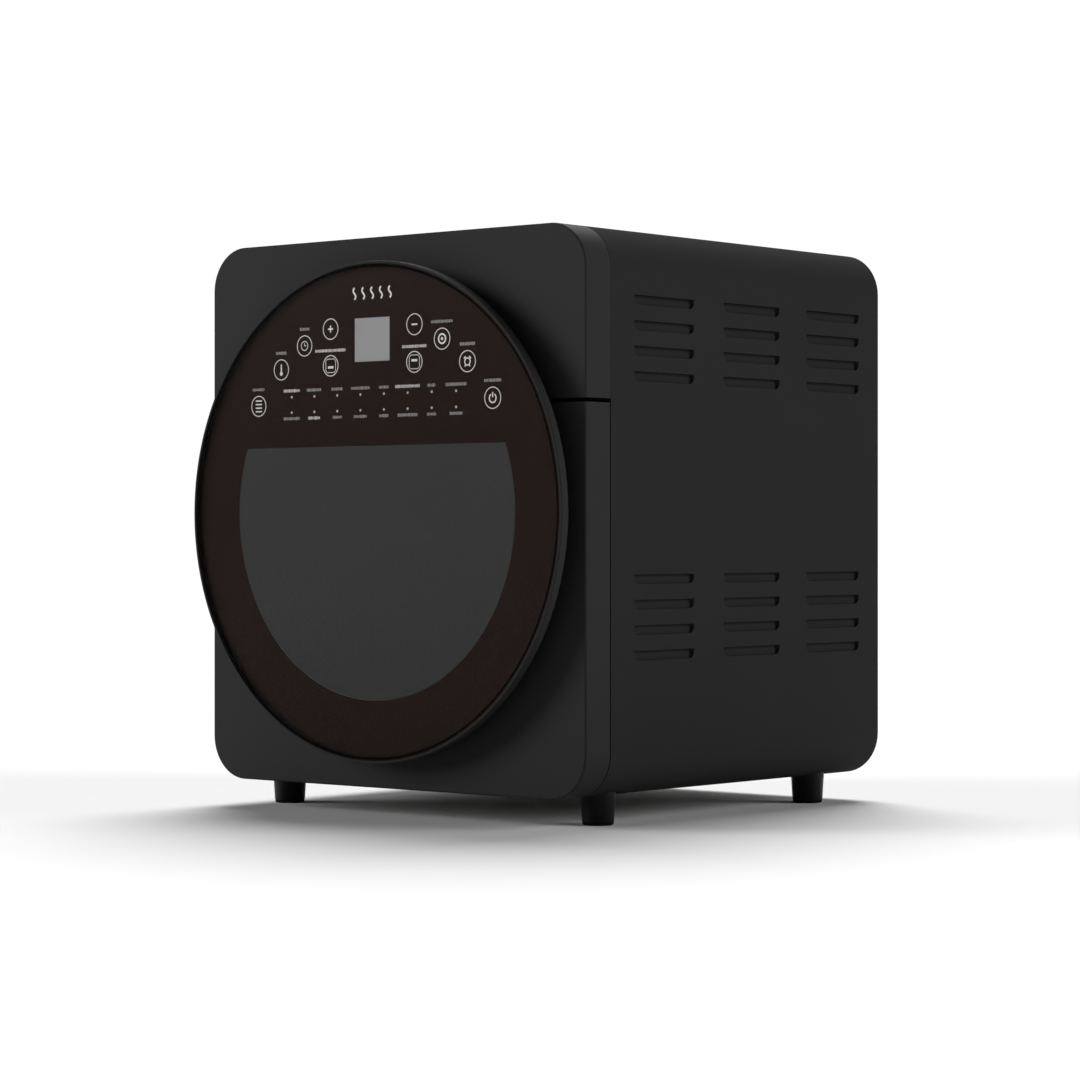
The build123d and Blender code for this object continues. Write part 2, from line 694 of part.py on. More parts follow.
def fan_wheel(radius, z0, z1, blades, hub_r, plate_t, lean):
    """A bladed wheel on the fan axis: a plate with leaning upright blades and a hub."""
    wheel = rod_z(0, FAN_Y, radius, z0, z0 + plate_t) + rod_z(0, FAN_Y, hub_r, z0, z1)
    blade_len = radius - hub_r - 8
    for i in range(blades):
        turn = Pos(0, FAN_Y, 0) * Rot(0, 0, 360 * i / blades)
        blade = turn * Pos(hub_r + 7 + blade_len / 2, 0, (z0 + z1) / 2) * Rot(0, 0, lean)
        wheel += blade * Box(blade_len, 1.2, z1 - z0)
    return wheel - rod_z(0, FAN_Y, SHAFT_R, z0 - 1, z1 + 1)


def convection_fan():
    return fan_wheel(52, 270, 284, 10, 9, 1.2, 18)


def cooling_fan():
    return fan_wheel(40, 296, 304.5, 9, 8, 1.6, 25)


def fan_shaft():
    return rod_z(0, FAN_Y, SHAFT_R, 266, 346)


def motor_core():
    """Laminated stack of the shaded-pole fan motor."""
    z0, z1 = MOTOR_Z, MOTOR_Z + 18
    stack = slab_z(Pos(0, FAN_Y + 8) * Rectangle(60, 62), z0, z1)
    stack -= slab_z(Pos(0, FAN_Y) * Circle(17.5), z0 - 1, z1 + 1)
    return stack - slab_z(Pos(0, FAN_Y + 28) * Rectangle(36, 10), z0 - 1, z1 + 1)


def motor_coil():
    """Winding on the rear limb of the stack."""
    limb_y = FAN_Y + 36
    block = box(-16, 16, limb_y - 12.5, limb_y + 12.5, MOTOR_Z - 5, MOTOR_Z + 26)
    block = fillet(block.edges().filter_by(Axis.X), 5)
    return block - box(-17, 17, limb_y - 3, limb_y + 3, MOTOR_Z, MOTOR_Z + 18)


def motor_rotor():
    drum = rod_z(0, FAN_Y, 16.8, MOTOR_Z - 1, MOTOR_Z + 19)
    return drum - rod_z(0, FAN_Y, SHAFT_R, MOTOR_Z - 3, MOTOR_Z + 21)


def motor_bearings():
    """Two bridge brackets that hold the shaft above and below the stack."""
    pieces = []
    for z0, z1, face in ((MOTOR_Z + 18, MOTOR_Z + 27, 1), (MOTOR_Z - 4, MOTOR_Z, -1)):
        top = z1 if face > 0 else z0
        strap_z = (top - 2, top) if face > 0 else (top, top + 2)
        strap = box(-27, 27, FAN_Y - 7, FAN_Y + 7, *strap_z)
        strap += box(-27, -21, FAN_Y - 7, FAN_Y + 7, z0, z1)
        strap += box(21, 27, FAN_Y - 7, FAN_Y + 7, z0, z1)
        pieces.append(strap - rod_z(0, FAN_Y, SHAFT_R + 0.05, z0 - 3, z1 + 3))
    return pieces


def motor_bridge():
    """Steel bridge that carries the motor over the plenum."""
    z = MOTOR_Z - 6
    bridge = box(-62, 62, FAN_Y - 12, FAN_Y + 12, z, z + 2)
    for s in (-1, 1):
        x0, x1 = sorted((s * 60, s * 62))
        bridge += box(x0, x1, FAN_Y - 12, FAN_Y + 12, PLENUM_TOP, z + 2)
        x0, x1 = sorted((s * 60, s * 74))
        bridge += box(x0, x1, FAN_Y - 12, FAN_Y + 12, PLENUM_TOP, PLENUM_TOP + 1.5)
    return bridge - rod_z(0, FAN_Y, 9, z - 1, z + 3)


def insulation_mats():
    """Mineral mats on the roof of the cavity, cut round the plenum, and on its rear wall."""
    roof = CAVITY_HIGH + LINER_SHEET
    rear = CAVITY_BACK + LINER_SHEET
    top = box(-126, 126, -106, 134, roof, roof + 7) - rod_z(0, FAN_Y, PLENUM_R + 11, roof - 1, roof + 9)
    return [top, box(-124, 124, rear, rear + 7, 46, 244)]


# ---------------------------------------------------------------- rotisserie
def rotisserie_motor():
    """Flat synchronous gear motor, held off the hot right wall by its cranked strap."""
    can = rod_x(SPIT_Y, SPIT_Z, 24, 134, 150)
    can = fillet(can.edges().filter_by(GeomType.CIRCLE), 1.5)
    can += box(132.5, 134, SPIT_Y - 34, SPIT_Y + 34, SPIT_Z - 9, SPIT_Z + 9)
    for side in (-1, 1):
        y0, y1 = sorted((SPIT_Y + side * 28, SPIT_Y + side * 34))
        can += box(CAVITY_X + LINER_SHEET, 132.5, y0, y1, SPIT_Z - 9, SPIT_Z + 9)
    return can - rod_x(SPIT_Y, SPIT_Z, 3.6 + PIN_CLEARANCE, 130, 145)


def drive_socket():
    """Output shaft of the gear motor with the square socket for the spit."""
    socket = rod_x(SPIT_Y, SPIT_Z, 3.6, 122, 144) + rod_x(SPIT_Y, SPIT_Z, 9.0, 112, 126)
    hole = SPIT_HALF + 0.1
    return socket - box(111, 121, SPIT_Y - hole, SPIT_Y + hole, SPIT_Z - hole, SPIT_Z + hole)


def rotisserie_spit():
    """Square rod with a round journal at the left end."""
    rod = box(-112, 120, SPIT_Y - SPIT_HALF, SPIT_Y + SPIT_HALF, SPIT_Z - SPIT_HALF, SPIT_Z + SPIT_HALF)
    rod += rod_x(SPIT_Y, SPIT_Z, 3.0 - PIN_CLEARANCE, -124, -112) + rod_x(SPIT_Y, SPIT_Z, 5.0, -114, -112)
    return rod


def spit_support():
    """Bracket on the left wall with an open notch for the journal."""
    plate = box(-121, -118.5, SPIT_Y - 9, SPIT_Y + 9, SPIT_Z - 12, SPIT_Z + 6)
    plate += box(-CAVITY_X, -118.5, SPIT_Y - 9, SPIT_Y + 9, SPIT_Z - 12, SPIT_Z - 10)
    plate -= rod_x(SPIT_Y, SPIT_Z, 3.0, -122, -118)
    return plate - box(-122, -118, SPIT_Y - 3.0, SPIT_Y + 3.0, SPIT_Z, SPIT_Z + 7)


def rotisserie_forks():
    """Two sliding forks that hold the food on the spit."""
    pieces = []
    for s in (-1, 1):
        x = s * 78
        hub = rod_x(SPIT_Y, SPIT_Z, 10, x - 6, x + 6) + rod_x(SPIT_Y, SPIT_Z, 10, *sorted((x, x + s * 10)))
        bar = box(x - 1.5, x + 1.5, SPIT_Y - 31, SPIT_Y + 31, SPIT_Z - 4, SPIT_Z + 4)
        bar += box(x - 1.5, x + 1.5, SPIT_Y - 4, SPIT_Y + 4, SPIT_Z - 31, SPIT_Z + 31)
        fork = hub + bar
        for dy, dz in ((28, 0), (-28, 0), (0, 28), (0, -28)):
            x0, x1 = sorted((x, x - s * 52))
            fork += rod_x(SPIT_Y + dy, SPIT_Z + dz, 1.6, x0, x1)
        hole = SPIT_HALF + 0.05
        fork -= box(x - 12, x + 12, SPIT_Y - hole, SPIT_Y + hole, SPIT_Z - hole, SPIT_Z + hole)
        fork -= rod_z(x + s * 5.5, SPIT_Y, 1.5, SPIT_Z + 3, SPIT_Z + 12)
        pieces.append(fork)
    return pieces


def fork_screws():
    """Thumb screws that clamp the forks."""
    pieces = []
    for s in (-1, 1):
        x = s * 83.5
        shank = rod_z(x, SPIT_Y, 1.5, SPIT_Z + SPIT_HALF, SPIT_Z + 12)
        pieces.append(shank + rod_z(x, SPIT_Y, 3.2, SPIT_Z + 12, SPIT_Z + 19))
    return pieces


# ---------------------------------------------------------------- lamp, probe and power board
def lamp_lens():
    """Glass cap of the oven lamp, inside the cavity."""
    cap = rod_x(LAMP_Y, LAMP_Z, 17, CAVITY_X - 5, CAVITY_X)
    cap = fillet(cap.edges().group_by(Axis.X)[0], 3)
    return cap - rod_x(LAMP_Y, LAMP_Z, 12.5, CAVITY_X - 3, CAVITY_X + 1)


def lamp_holder():
    """Cup behind the lens, with the lamp socket at its end."""
    cup = rod_x(LAMP_Y, LAMP_Z, 13.8, CAVITY_X, 152)
    cup -= rod_x(LAMP_Y, LAMP_Z, 12.3, CAVITY_X - 1, 148)
    cup += rod_x(LAMP_Y, LAMP_Z, 18, CAVITY_X + LINER_SHEET, CAVITY_X + 2) - rod_x(
        LAMP_Y, LAMP_Z, 13, CAVITY_X - 1, CAVITY_X + 5
    )
    return cup - rod_x(LAMP_Y, LAMP_Z, 4.0, 147, 153)


def lamp_bulb():
    bulb = rod_x(LAMP_Y, LAMP_Z, 4.0, 142, 154) + rod_x(LAMP_Y, LAMP_Z, 7.0, 134.5, 143)
    return bulb + Pos(134.5, LAMP_Y, LAMP_Z) * Sphere(7.0)


def temperature_probe():
    """Slim sensor through the rear wall."""
    probe = rod_y(70, 225, 2.5, CAVITY_BACK - 18, CAVITY_BACK)
    return probe + Pos(70, CAVITY_BACK - 18, 225) * Sphere(2.5)


def power_board():
    """Upright power board beside the fan plenum."""
    board = box(-122, -120.4, -70, 60, 266, 352)
    for y in (-64, 54):
        for z in (274, 346):
            board -= rod_x(y, z, 1.75, -124, -118)
    return board


def board_parts():
    """Transformer, capacitor, relays and heat sink of the power board."""
    x = -122
    parts = [
        box(x - 26, x, -52, -18, 282, 312),
        rod_x(-35, 331, 9, x - 22, x),
        box(x - 16, x, 0, 19, 280, 308),
        box(x - 16, x, 24, 43, 280, 308),
        box(x - 14, x, 0, 40, 318, 322),
    ]
    for i in range(4):
        parts[4] += box(x - 24, x - 13, 0 + i * 12, 4 + i * 12, 318, 340)
    return parts


def board_bracket():
    """Sheet angle behind the front frame that holds the power board upright."""
    plate = box(-119.2, -118, CAVITY_FRONT, 62, 262, 354) - box(-120, -117, -60, 50, 280, 340)
    plate += box(-119.2, -104, CAVITY_FRONT, CAVITY_FRONT + 1.2, 262, 354)
    for y in (-64, 54):
        for z in (274, 346):
            plate += rod_x(y, z, 3.5, -120.4, -119.2) + rod_x(y, z, 1.7, -123, -119.2)
    return plate


def door_magnets():
    """Magnets on the front frame that hold the steel liner of the closed door."""
    return [box(x - 4, x + 4, DOOR_BACK + 0.3, Y_FRONT_FRAME, 203, 229) for x in (-147, 147)]


PARTS = {
    "outer_wrap": outer_wrap,
    "base_plate": base_plate,
    "feet": feet,
    "foot_pads": foot_pads,
    "casing_screws": casing_screws,
    "rear_cover": rear_cover,
    "rear_spacers": rear_spacers,
    "cord_gland": cord_gland,
    "fascia_plate": fascia_plate,
    "fascia_frame": fascia_frame,
    "door_plate": door_plate,
    "door_frame": door_frame,
    "door_glass_inner": door_glass_inner,
    "door_liner": door_liner,
    "door_screws": door_screws,
    "hinge_blocks": hinge_blocks,
    "hinge_pins": hinge_pins,
    "hinge_brackets": hinge_brackets,
    "disc_rim": disc_rim,
    "disc_glass": disc_glass,
    "disc_print": disc_print,
    "disc_carrier": disc_carrier,
    "window_sleeve": window_sleeve,
    "touch_board": touch_board,
    "display_module": display_module,
    "touch_springs": touch_springs,
    "light_guides": light_guides,
    "front_frame": front_frame,
    "door_gasket": door_gasket,
    "cavity_shell": cavity_shell,
    "lower_heaters": lower_heaters,
    "heater_insulators": heater_insulators,
    "crumb_tray": crumb_tray,
    "wire_rack": wire_rack,
    "fan_guard": fan_guard,
    "upper_heater": upper_heater,
    "air_plenum": air_plenum,
    "convection_fan": convection_fan,
    "cooling_fan": cooling_fan,
    "fan_shaft": fan_shaft,
    "motor_core": motor_core,
    "motor_coil": motor_coil,
    "motor_rotor": motor_rotor,
    "motor_bearings": motor_bearings,
    "motor_bridge": motor_bridge,
    "insulation_mats": insulation_mats,
    "rotisserie_motor": rotisserie_motor,
    "drive_socket": drive_socket,
    "rotisserie_spit": rotisserie_spit,
    "spit_support": spit_support,
    "rotisserie_forks": rotisserie_forks,
    "fork_screws": fork_screws,
    "lamp_lens": lamp_lens,
    "lamp_holder": lamp_holder,
    "lamp_bulb": lamp_bulb,
    "temperature_probe": temperature_probe,
    "power_board": power_board,
    "board_parts": board_parts,
    "board_bracket": board_bracket,
    "door_magnets": door_magnets,
}

os.makedirs("parts", exist_ok=True)
for name, make in PARTS.items():
    made = make()
    if isinstance(made, list):
        made = Compound(children=[s for piece in made for s in piece.solids()])
    export_step(made, f"parts/{name}.step")
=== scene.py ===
"""Toaster oven with a round glass front: looks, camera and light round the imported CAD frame."""
import math
import random

import bmesh
import bpy
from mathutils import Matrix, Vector


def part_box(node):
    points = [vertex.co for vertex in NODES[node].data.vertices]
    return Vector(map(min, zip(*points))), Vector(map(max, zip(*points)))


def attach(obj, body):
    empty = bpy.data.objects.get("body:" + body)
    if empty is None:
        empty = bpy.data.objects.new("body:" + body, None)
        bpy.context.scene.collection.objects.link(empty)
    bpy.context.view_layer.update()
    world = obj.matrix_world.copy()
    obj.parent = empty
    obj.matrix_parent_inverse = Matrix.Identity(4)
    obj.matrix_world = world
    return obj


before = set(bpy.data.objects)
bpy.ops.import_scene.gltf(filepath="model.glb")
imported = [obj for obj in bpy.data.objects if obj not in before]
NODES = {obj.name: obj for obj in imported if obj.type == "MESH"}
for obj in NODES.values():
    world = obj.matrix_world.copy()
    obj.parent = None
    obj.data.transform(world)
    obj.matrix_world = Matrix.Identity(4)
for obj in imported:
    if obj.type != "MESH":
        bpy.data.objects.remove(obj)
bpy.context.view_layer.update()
MM = 0.001

# ---------------------------------------------------------------- places read from the frame
GLASS_LOW, GLASS_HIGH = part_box("disc_glass")
DISC = Vector((0.0, 0.0, (GLASS_LOW[2] + GLASS_HIGH[2]) / 2))
GLASS_R = (GLASS_HIGH[2] - GLASS_LOW[2]) / 2
Y_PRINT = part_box("disc_print")[0][1]    # front of the printed mask

# ---------------------------------------------------------------- camera, lamps and sky
CAMERA_PLACE = (1.3895, -1.6471, 0.1771)
CAMERA_TURN = 40.21                     # degrees round from straight in front
LENS = 107.54
SENSOR = 36.0
SHIFT_Y = -0.00237
CLIP_END = 50
# name, azimuth, elevation, strength, softness in degrees
LAMPS = (
    ("key", -50, 18, 1.88, 28),
    ("right_fill", 120, 22, 1.5, 30),
    ("back_light", 213, 58, 3.62, 40),
)
SKY_LIGHT = 0.03                        # on the object
SKY_SEEN = 1.02                         # by the camera
FLOOR_SIZE = 60

# ---------------------------------------------------------------- finishes
BROAD_GRAIN = 14.0
FINE_DETAIL = 3.0
BROAD_DETAIL = 2.0
NOISE_LOW, NOISE_HIGH = 0.6, 1.4        # usual span of the two noises' sum
COAT_ROUGH = 0.1

# ---------------------------------------------------------------- printed marks and film
INK_FRONT = 0.00007                     # how far the front of the marks stands before the print
INK_THICK = 0.00004
LINE = 0.55 * MM
KEY_R = 6.5 * MM                        # ring round each key
KEY_RING_R = 122 * MM                   # the outer keys lie on this circle
KEY_ANGLES = (17.2, 29.0, 41.0, 55.5)   # degrees from the top
KEY_LABEL_UP = 10.7 * MM
HEAT_KEY = (36 * MM, 93.2 * MM)
HEAT_LABEL_UP = 9.7 * MM
OVEN_HALF, OVEN_CUT = 4.3 * MM, 1.3 * MM
OVEN_LINE = 0.45 * MM
WORD_PITCH = 20.2 * MM
WORD_SCALE = 0.94
# height over the disc's middle, widths in mm, places of the bold words
WORD_ROWS = (
    (78.3 * MM, (15, 14, 10, 17, 8.5, 22, 7, 18), (0, 5)),
    (60.4 * MM, (15, 11, 8, 12, 8, 17.5, 8, 11), (1,)),
)
# side, widths over the outer keys in mm, width over the heat key in mm
KEY_WORDS = ((-1, (8, 9, 11), 27), (1, (18, 12, 13.5), 20))
STROKE_WIDTHS = (0.4, 0.9)              # mm
STROKE_HEIGHTS = (1.5, 2.1)             # mm
STROKE_GAP = 0.5 * MM
STROKE_LEAST = 0.3 * MM
WAVE_PITCH = 7.6 * MM
WAVE_SWING = 1.1 * MM
WAVE_LOW = 134.2 * MM
WAVE_HEIGHT = 7.4 * MM
WAVE_WIDTH = 1.2 * MM
WAVE_STEPS = 14
# painted shade: a black ring standing in for the dark gap between the glass and the rim
EDGE_INSET = 0.75 * MM
EDGE_WIDTH = 1.3 * MM
EDGE_GAP = 0.00001                      # between the painted shade line and the glass
EDGE_STEPS = 180
WINDOW_R = 118.5 * MM
WINDOW_TOP = 42 * MM
# the window film: smoke-grey, and its grey is partly painted light for the light seen in the window
FILM_INSET = 0.2 * MM
FILM_THICK = 0.3 * MM
FILM_STEPS = 120


def add_camera():
    data = bpy.data.cameras.new("camera")
    data.lens = LENS
    data.sensor_width = SENSOR
    data.shift_y = SHIFT_Y
    data.clip_end = CLIP_END
    camera = bpy.data.objects.new("camera", data)
    camera.location = CAMERA_PLACE
    camera.rotation_euler = (math.radians(90), 0, math.radians(CAMERA_TURN))
    bpy.context.collection.objects.link(camera)
    bpy.context.scene.camera = camera


def add_sun(name, azimuth, elevation, strength, softness):
    """A distant soft lamp; azimuth 0 shines from the front and 90 from the right."""
    data = bpy.data.lights.new(name, "SUN")
    data.energy = strength
    data.angle = math.radians(softness)
    lamp = bpy.data.objects.new(name, data)
    a, e = math.radians(azimuth), math.radians(elevation)
    source = Vector((math.sin(a) * math.cos(e), -math.cos(a) * math.cos(e), math.sin(e)))
    lamp.rotation_euler = source.to_track_quat("Z", "Y").to_euler()
    bpy.context.collection.objects.link(lamp)


def add_world():
    """White where the camera sees it, and only a faint light on the object."""
    world = bpy.data.worlds.new("studio")
    bpy.context.scene.world = world
    world.use_nodes = True
    tree = world.node_tree
    tree.nodes.clear()
    path = tree.nodes.new("ShaderNodeLightPath")
    mix = tree.nodes.new("ShaderNodeMixShader")
    out = tree.nodes.new("ShaderNodeOutputWorld")
    tree.links.new(path.outputs["Is Camera Ray"], mix.inputs["Fac"])
    for socket, strength in ((1, SKY_LIGHT), (2, SKY_SEEN)):
        white = tree.nodes.new("ShaderNodeBackground")
        white.inputs["Color"].default_value = (1, 1, 1, 1)
        white.inputs["Strength"].default_value = strength
        tree.links.new(white.outputs[0], mix.inputs[socket])
    tree.links.new(mix.outputs[0], out.inputs["Surface"])


def add_floor():
    bpy.ops.mesh.primitive_plane_add(size=FLOOR_SIZE, location=(0, 0, 0))
    floor = bpy.context.object
    floor.name = "floor"
    paper = finish(
        "floor_paper", (0.76, 0.76, 0.76), rough=0.9, specular=0.0, grain=40, tint=0.004,
    )
    floor.data.materials.append(paper)


# ---------------------------------------------------------------- materials
def finish(
    name, color, rough=0.5, metal=0.0, specular=0.5, grain=900.0, stretch=(1, 1, 1), bump=0.0,
    depth=0.00005, tint=0.06, rough_var=0.05, coat=0.0, alpha=1.0, glow=0.0,
):
    """A finish whose colour, roughness and relief vary with a fine grain and a broad cloud."""
    mat = bpy.data.materials.new(name)
    mat.use_nodes = True
    tree = mat.node_tree
    shader = tree.nodes["Principled BSDF"]
    shader.inputs["Metallic"].default_value = metal
    shader.inputs["Specular IOR Level"].default_value = specular
    shader.inputs["Coat Weight"].default_value = coat
    shader.inputs["Coat Roughness"].default_value = COAT_ROUGH
    shader.inputs["Alpha"].default_value = alpha
    if glow:
        shader.inputs["Emission Color"].default_value = (*color, 1)
        shader.inputs["Emission Strength"].default_value = glow

    def node(kind, **values):
        made = tree.nodes.new("ShaderNode" + kind)
        for key, value in values.items():
            made.inputs[key.replace("_", " ").title()].default_value = value
        return made

    coords = node("TexCoord")
    mapping = node("Mapping", scale=stretch)
    tree.links.new(coords.outputs["Object"], mapping.inputs["Vector"])
    fine = node("TexNoise", scale=grain, detail=FINE_DETAIL)
    broad = node("TexNoise", scale=BROAD_GRAIN, detail=BROAD_DETAIL)
    tree.links.new(mapping.outputs[0], fine.inputs["Vector"])
    tree.links.new(coords.outputs["Object"], broad.inputs["Vector"])
    both = node("Math")
    both.operation = "ADD"
    tree.links.new(fine.outputs["Fac"], both.inputs[0])
    tree.links.new(broad.outputs["Fac"], both.inputs[1])

    def spread(low, high):
        """The sum of both noises, brought to the span from low to high."""
        made = node("MapRange")
        made.inputs["From Min"].default_value = NOISE_LOW
        made.inputs["From Max"].default_value = NOISE_HIGH
        made.inputs["To Min"].default_value = low
        made.inputs["To Max"].default_value = high
        tree.links.new(both.outputs[0], made.inputs["Value"])
        return made.outputs[0]

    shade = node("HueSaturation")
    shade.inputs["Color"].default_value = (*color, 1)
    tree.links.new(spread(1 - tint, 1 + tint), shade.inputs["Value"])
    tree.links.new(shade.outputs[0], shader.inputs["Base Color"])
    tree.links.new(spread(rough - rough_var, rough + rough_var), shader.inputs["Roughness"])
    if bump:
        relief = node("Bump", strength=bump, distance=depth)
        tree.links.new(fine.outputs["Fac"], relief.inputs["Height"])
        tree.links.new(relief.outputs[0], shader.inputs["Normal"])
    return mat


def paint(names, look, color, **settings):
    """Put one finish on every node in the list of names."""
    material = finish(look, color, **settings)
    for name in names.split():
        slots = NODES[name].material_slots
        if slots:
            for slot in slots:
                slot.material = material
        else:
            NODES[name].data.materials.append(material)


def dress_front():
    """The casing, the bezel, the round front and the feet."""
    paint(
        "outer_wrap rear_cover",
        "casing_coat", (0.0242, 0.0242, 0.0244),
        rough=0.85, specular=0.02, grain=1800, bump=0.25,
    )
    paint(
        "door_plate door_frame fascia_plate fascia_frame disc_carrier hinge_blocks",
        "front_moulding", (0.0208, 0.0208, 0.021),
        rough=0.6, specular=0.08, grain=2600, bump=0.2,
    )
    paint(
        "disc_rim",
        "rim_moulding", (0.0235, 0.0235, 0.0235),
        rough=0.6, specular=0.04, grain=1200,
    )
    paint(
        "window_sleeve",
        "sleeve_black", (0.02, 0.02, 0.02),
        rough=0.7, specular=0.2, grain=1500, bump=0.2,
    )
    paint(
        "disc_glass",
        "front_glass", (0.006, 0.006, 0.006),
        rough=0.14, specular=0.12, grain=60, tint=0.02, rough_var=0.004, alpha=0.06,
    )
    paint(
        "door_glass_inner",
        "inner_glass", (0.03, 0.03, 0.031),
        rough=0.05, specular=0.5, tint=0.02, rough_var=0.02, alpha=0.22,
    )
    paint(
        "disc_print",
        "mask_ink", (0.0215, 0.0132, 0.0102),
        rough=0.7, specular=0.02, grain=2000, tint=0.05,
    )
    # painted light: the faint glow keeps the grey display evenly bright whatever the lamps do
    paint(
        "display_module",
        "display_face", (0.27, 0.27, 0.272),
        rough=0.5, specular=0.1, grain=500, tint=0.015, glow=0.24,
    )
    paint(
        "light_guides",
        "guide_milk", (0.6, 0.58, 0.56),
        rough=0.4, grain=3000, tint=0.05,
    )
    paint(
        "feet rear_spacers cord_gland",
        "foot_moulding", (0.003, 0.003, 0.003),
        rough=0.4, specular=0.12, grain=2200, bump=0.25,
    )
    paint(
        "foot_pads",
        "pad_rubber", (0.0035, 0.0035, 0.0035),
        rough=0.85, specular=0.05, grain=1500, bump=0.4,
    )
    paint(
        "door_gasket",
        "gasket_silicone", (0.012, 0.012, 0.012),
        rough=0.6, specular=0.3, grain=900, bump=0.15,
    )


def dress_works():
    """The cavity, the works and the screws."""
    paint(
        "cavity_shell front_frame door_liner crumb_tray fan_guard",
        "liner_steel", (0.30, 0.30, 0.29),
        rough=0.36, metal=1.0, grain=420, stretch=(1, 14, 14), bump=0.12, tint=0.1,
    )
    paint(
        "base_plate hinge_pins hinge_brackets air_plenum fan_shaft motor_bearings motor_bridge "
        "drive_socket spit_support temperature_probe board_bracket",
        "zinc_plate", (0.56, 0.56, 0.54),
        rough=0.38, metal=1.0, grain=260, bump=0.08, tint=0.12, rough_var=0.1,
    )
    paint(
        "casing_screws door_screws fork_screws",
        "screw_steel", (0.32, 0.32, 0.32),
        rough=0.35, metal=1.0, grain=1500, tint=0.1,
    )
    paint(
        "wire_rack rotisserie_spit rotisserie_forks",
        "rack_chrome", (0.66, 0.66, 0.66),
        rough=0.28, metal=1.0, grain=300, tint=0.05,
    )
    paint(
        "lower_heaters upper_heater",
        "heater_sheath", (0.14, 0.125, 0.11),
        rough=0.5, metal=0.7, grain=700, bump=0.2, tint=0.2,
    )
    paint(
        "heater_insulators",
        "ceramic_bead", (0.78, 0.75, 0.68),
        rough=0.45, grain=900, bump=0.15, tint=0.05,
    )
    paint(
        "convection_fan cooling_fan motor_rotor",
        "fan_sheet", (0.62, 0.62, 0.62),
        rough=0.3, metal=1.0, grain=350, tint=0.08,
    )
    paint(
        "motor_core",
        "core_laminations", (0.2, 0.19, 0.18),
        rough=0.45, metal=0.9, grain=60, stretch=(0.02, 0.02, 40), bump=0.6, depth=0.0002, tint=0.25,
    )
    paint(
        "motor_coil",
        "copper_winding", (0.42, 0.16, 0.06),
        rough=0.35, metal=0.8, grain=60, stretch=(0.02, 0.02, 30), bump=0.7, depth=0.0003, tint=0.25,
    )
    paint(
        "insulation_mats",
        "mineral_mat", (0.58, 0.55, 0.48),
        rough=0.95, specular=0.1, grain=500, bump=0.9, depth=0.0006, tint=0.2,
    )
    paint(
        "touch_board power_board",
        "board_lacquer", (0.012, 0.075, 0.03),
        rough=0.35, grain=250, tint=0.25, coat=0.4,
    )
    paint(
        "board_parts rotisserie_motor",
        "part_moulding", (0.035, 0.035, 0.04),
        rough=0.5, grain=900, bump=0.15, tint=0.15,
    )
    paint(
        "touch_springs",
        "contact_spring", (0.6, 0.55, 0.42),
        rough=0.3, metal=1.0, grain=600, tint=0.1,
    )
    paint(
        "lamp_lens lamp_bulb",
        "lamp_glass", (0.75, 0.75, 0.72),
        rough=0.12, grain=300, tint=0.03, alpha=0.35,
    )
    paint(
        "lamp_holder",
        "lamp_cup", (0.6, 0.6, 0.58),
        rough=0.25, metal=1.0, grain=300, tint=0.08,
    )
    paint(
        "door_magnets",
        "magnet_grey", (0.1, 0.1, 0.1),
        rough=0.55, metal=0.6, grain=700, bump=0.2, tint=0.15,
    )


def solid_piece(mesh, name, material, thick):
    """Give flat faces their thickness, backwards from their place, and make them a piece."""
    flat = bmesh.ops.extrude_face_region(mesh, geom=mesh.faces[:])
    back = [v for v in flat["geom"] if isinstance(v, bmesh.types.BMVert)]
    bmesh.ops.translate(mesh, verts=back, vec=(0, thick, 0))
    bmesh.ops.recalc_face_normals(mesh, faces=mesh.faces[:])
    data = bpy.data.meshes.new(name)
    mesh.to_mesh(data)
    mesh.free()
    data.materials.append(material)
    obj = bpy.data.objects.new(name, data)
    bpy.context.collection.objects.link(obj)
    return obj


# ---------------------------------------------------------------- printed marks
class Marks:
    """Flat marks on the door, by default on the print; places are from the disc's middle."""

    def __init__(self, name, material, slot="guide_white", front=Y_PRINT - INK_FRONT):
        self.mesh = bmesh.new()
        self.name = name
        self.material = material
        self.slot = slot
        self.front = front

    def corner(self, x, z):
        return self.mesh.verts.new((DISC.x + x, self.front, DISC.z + z))

    def polygon(self, points):
        self.mesh.faces.new([self.corner(x, z) for x, z in points])

    def strip(self, points, width, closed=False):
        """A line of even width through the points."""
        count = len(points)
        pairs = []
        for i, (x, z) in enumerate(points):
            before = points[(i - 1) % count] if closed or i else points[i]
            after = points[(i + 1) % count] if closed or i < count - 1 else points[i]
            along = Vector((after[0] - before[0], after[1] - before[1])).normalized() * width / 2
            pairs.append((self.corner(x - along.y, z + along.x), self.corner(x + along.y, z - along.x)))
        for i in range(count if closed else count - 1):
            a, b = pairs[i], pairs[(i + 1) % count]
            self.mesh.faces.new((a[0], a[1], b[1], b[0]))

    def ring(self, x, z, radius, width, start=0.0, sweep=360.0, steps=48):
        full = sweep >= 360.0
        count = max(6, int(steps * sweep / 360)) + (0 if full else 1)
        angles = [math.radians(start + sweep * i / (count if full else count - 1)) for i in range(count)]
        points = [(x + radius * math.cos(a), z + radius * math.sin(a)) for a in angles]
        self.strip(points, width, closed=full)

    def disc(self, x, z, radius, steps=20):
        turns = [2 * math.pi * i / steps for i in range(steps)]
        self.polygon([(x + radius * math.cos(a), z + radius * math.sin(a)) for a in turns])

    def bar(self, x, z, width, height):
        w, h = width / 2, height / 2
        self.polygon([(x - w, z - h), (x + w, z - h), (x + w, z + h), (x - w, z + h)])

    def done(self):
        """Give the flat marks the thickness of the ink and hang them on the door."""
        obj = solid_piece(self.mesh, self.name, self.material, INK_THICK)
        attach(obj, "door")


# ---------------------------------------------------------------- pictograms, drawn round x, z
def plus(m, x, z):
    m.bar(x, z, 4.4 * MM, 1.0 * MM)
    for side in (-1, 1):
        m.bar(x, z + side * 1.35 * MM, 1.0 * MM, 1.7 * MM)


